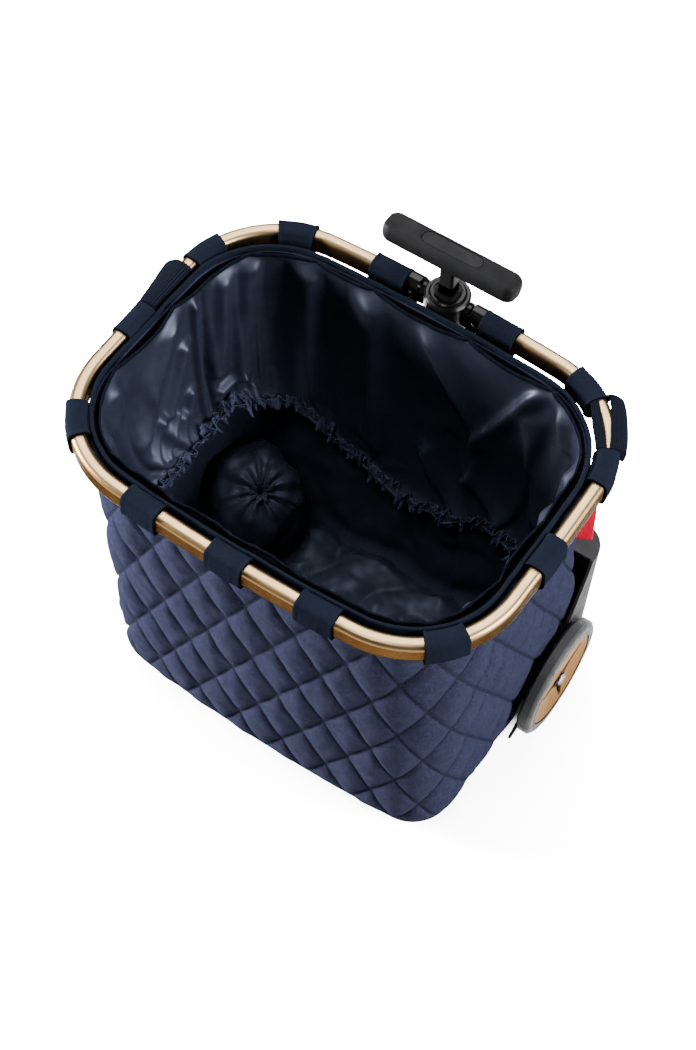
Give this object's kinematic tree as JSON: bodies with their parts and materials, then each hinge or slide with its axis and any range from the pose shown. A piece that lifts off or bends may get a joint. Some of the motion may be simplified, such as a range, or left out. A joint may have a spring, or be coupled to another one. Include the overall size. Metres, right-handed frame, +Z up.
{
  "type": "shopping trolley",
  "caption": "Soft quilted shopping trolley: an open basket laced to an oval tube rim, on a two-wheeled rear chassis, with a telescopic T-handle.",
  "frame": {"origin": "on the floor, under the middle of the whole", "axes": "+Z up, +Y towards the handle side, +X to the right seen from the front"},
  "size_m": [0.4232, 0.3476, 0.473],
  "materials": {
    "gold_tube": "anodised champagne gold, soft sheen",
    "gloss_black": "gloss",
    "rivet_steel": "bright",
    "navy_fabric": "fine plain weave, matte",
    "ribbed_webbing": "lengthwise ribs, matte",
    "quilted_navy": "padded, stitched in diamonds",
    "black_tape": "woven hook pile",
    "board_grey": "matte",
    "navy_satin": "satin",
    "red_fabric": "matte",
    "black_plastic": "matte",
    "grey_plastic": "fine grained",
    "black_aluminium": "black anodised",
    "grip_plastic": "matte charcoal",
    "button_plastic": "satin gloss",
    "rubber": "matte",
    "bright_steel": "bright",
    "grey_tyre": "matte grey",
    "gold_disc": "metallic bronze gold"
  },
  "bodies": {
    "trolley": {"rim_tube": "gold_tube", "sleeve_left": "gloss_black", "sleeve_right": "gloss_black", "sleeve_rivets": "rivet_steel", "handle_housing": "gloss_black", "housing_bezel": "gloss_black", "frame_loop_01": "navy_fabric", "frame_loop_02": "navy_fabric", "frame_loop_03": "navy_fabric", "frame_loop_04": "navy_fabric", "frame_loop_05": "navy_fabric", "frame_loop_06": "navy_fabric", "frame_loop_07": "navy_fabric", "frame_loop_08": "navy_fabric", "frame_loop_09": "navy_fabric", "frame_loop_10": "navy_fabric", "frame_loop_11": "navy_fabric", "frame_loop_12": "navy_fabric", "frame_loop_13": "navy_fabric", "carry_strap_left": "ribbed_webbing", "carry_strap_right": "ribbed_webbing", "bag_shell": "quilted_navy", "rim_binding": "navy_fabric", "hook_tape": "black_tape", "base_board": "board_grey", "lining": "navy_satin", "closure_collar": "navy_satin", "collar_hem": "navy_satin", "side_pocket": "navy_satin", "side_tab": "red_fabric", "base_tray": "black_plastic", "chassis_shell": "grey_plastic", "back_plate": "black_plastic", "chassis_screws": "rivet_steel", "tube_foot": "black_plastic", "outer_tube": "black_aluminium", "outer_bush": "black_plastic", "foot_left": "rubber", "foot_right": "rubber", "stub_axle_left": "bright_steel", "stub_axle_right": "bright_steel", "axle_cap_left": "bright_steel", "axle_cap_right": "bright_steel"},
    "middle_stage": {"middle_tube": "black_aluminium", "middle_bush": "black_plastic"},
    "handle": {"inner_tube": "black_aluminium", "handle_neck": "grip_plastic", "grip_lower": "grip_plastic", "grip_upper": "grip_plastic", "button_spring": "bright_steel"},
    "button": {"release_button": "button_plastic", "release_rod": "bright_steel"},
    "wheel_left": {"tyre_left": "grey_tyre", "hub_left": "black_plastic", "hub_disc_left": "gold_disc", "wheel_bush_left": "black_plastic"},
    "wheel_right": {"tyre_right": "grey_tyre", "hub_right": "black_plastic", "hub_disc_right": "gold_disc", "wheel_bush_right": "black_plastic"}
  },
  "joints": [
    {"name": "handle_middle_slide", "type": "slide", "parent": "trolley", "child": "middle_stage", "axis": [0, 0, 1], "range_m": [0, 0.27]},
    {"name": "handle_top_slide", "type": "slide", "parent": "middle_stage", "child": "handle", "axis": [0, 0, 1], "range_m": [0, 0.27]},
    {"name": "release_button_press", "type": "slide", "parent": "handle", "child": "button", "axis": [0, 0, -1], "range_m": [0, 0.0025], "stiffness_N_per_m": 400, "deforming": ["button_spring"]},
    {"name": "wheel_left_spin", "type": "hinge", "parent": "trolley", "child": "wheel_left", "pos_m": [-0.2, 0.0738, 0.0625], "axis": [1, 0, 0], "continuous": true},
    {"name": "wheel_right_spin", "type": "hinge", "parent": "trolley", "child": "wheel_right", "pos_m": [0.2, 0.0738, 0.0625], "axis": [1, 0, 0], "continuous": true}
  ]
}
